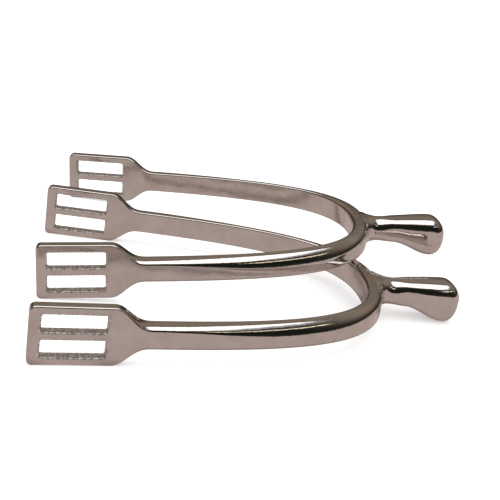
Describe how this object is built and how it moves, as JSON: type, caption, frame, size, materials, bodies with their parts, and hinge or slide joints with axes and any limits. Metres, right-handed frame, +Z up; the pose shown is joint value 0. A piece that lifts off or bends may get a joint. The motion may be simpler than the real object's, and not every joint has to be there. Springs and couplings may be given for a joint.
{
  "type": "pair of riding spurs",
  "caption": "Polished steel English riding spurs with slotted strap plates and short drop-knob necks, one leaning on the other.",
  "frame": {"origin": "on the ground, at the middle of the pair's bounding box seen from above", "axes": "+Z up; +X from the front spur's strap plates towards its knob, +Y to that spur's left, where the rear spur lies"},
  "size_m": [0.1284, 0.1254, 0.0232],
  "materials": {
    "polished_stainless": "mirror-polished stainless steel, with cast slot walls left rough"
  },
  "bodies": {
    "front_spur": {"front_spur_yoke": "polished_stainless", "front_spur_neck": "polished_stainless"},
    "rear_spur": {"rear_spur_yoke": "polished_stainless", "rear_spur_neck": "polished_stainless"}
  },
  "joints": [
    {"name": "rear_spur_lift", "type": "slide", "parent": "front_spur", "child": "rear_spur", "axis": [0, 0, 1], "range_m": [0, 0.06]}
  ]
}
